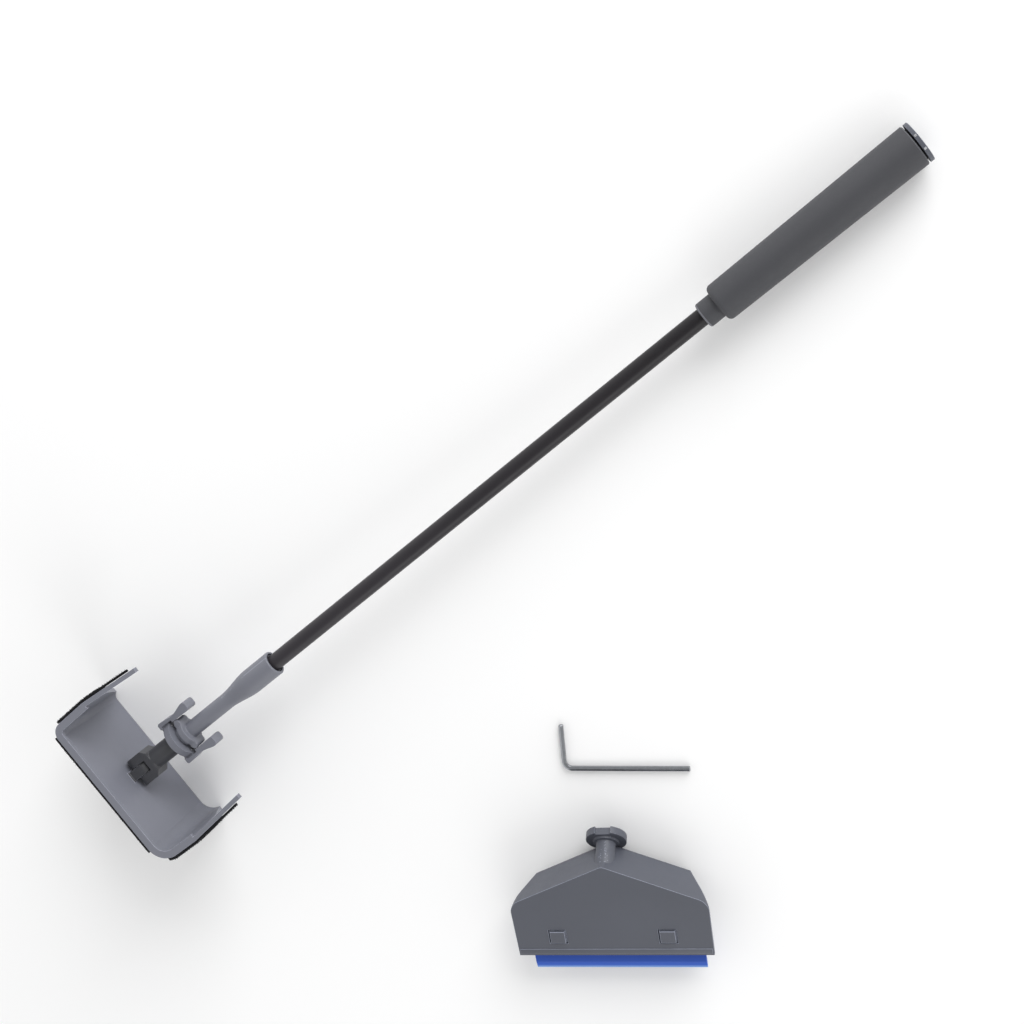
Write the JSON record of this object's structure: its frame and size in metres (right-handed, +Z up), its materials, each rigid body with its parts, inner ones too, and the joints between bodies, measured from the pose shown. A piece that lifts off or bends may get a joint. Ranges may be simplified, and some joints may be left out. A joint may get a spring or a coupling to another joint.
{
  "type": "pole cleaner with clip-on heads",
  "caption": "Hand-held pole with a hinged U-shaped head faced with hook strips, a spring clip, a spare squeegee head and a hex key.",
  "frame": {"origin": "bottom centre of the whole set's box, on the surface that it lies on", "axes": "+X along the pole from the head to the handle, +Y across the pole on the side away from the loose pieces, +Z up from the surface"},
  "size_m": [0.647, 0.3898, 0.0772],
  "materials": {
    "shell_plastic": "satin moulded mid grey",
    "dark_plastic": "satin moulded dark grey",
    "grip_plastic": "fine matte dark grey",
    "hook_strip": "black hook pile",
    "rod_paint": "satin black",
    "screw_steel": "bright zinc",
    "key_steel": "bright plated",
    "blade_rubber": "smooth blue"
  },
  "bodies": {
    "pole": {"rod": "rod_paint", "grip": "grip_plastic", "grip_collar": "grip_plastic", "rod_bush": "shell_plastic", "grip_end_cap": "grip_plastic", "pole_socket": "shell_plastic", "lock_disc": "shell_plastic", "head_stub": "dark_plastic", "hinge_screw": "screw_steel", "hinge_nut": "screw_steel"},
    "head": {"head_shell": "shell_plastic", "base_hook_strip": "hook_strip", "left_hook_strip": "hook_strip", "right_hook_strip": "hook_strip"},
    "left_lever": {"left_lever": "shell_plastic"},
    "right_lever": {"right_lever": "shell_plastic"},
    "squeegee": {"squeegee_body": "shell_plastic", "squeegee_blade_holder": "shell_plastic", "squeegee_blade": "blade_rubber"},
    "key": {"hex_key": "key_steel"}
  },
  "joints": [
    {"name": "head_tilt", "type": "hinge", "parent": "pole", "child": "head", "pos_m": [-0.30789, 0.1345, 0.03841], "axis": [0, 1, 0], "range_deg": [-70, 70]},
    {"name": "left_lever_press", "type": "hinge", "parent": "pole", "child": "left_lever", "pos_m": [-0.26403, 0.1437, 0.03663], "axis": [-0.0405, 0, -0.9992], "range_deg": [0, 12], "stiffness_Nm_per_rad": 0.3},
    {"name": "right_lever_press", "type": "hinge", "parent": "pole", "child": "right_lever", "pos_m": [-0.26403, 0.1253, 0.03663], "axis": [0.0405, 0, 0.9992], "range_deg": [0, 12], "stiffness_Nm_per_rad": 0.3},
    {"name": "squeegee_lift", "type": "slide", "parent": "pole", "child": "squeegee", "axis": [0, 0, 1], "range_m": [0, 0.12]},
    {"name": "key_lift", "type": "slide", "parent": "pole", "child": "key", "axis": [0, 0, 1], "range_m": [0, 0.1]}
  ]
}
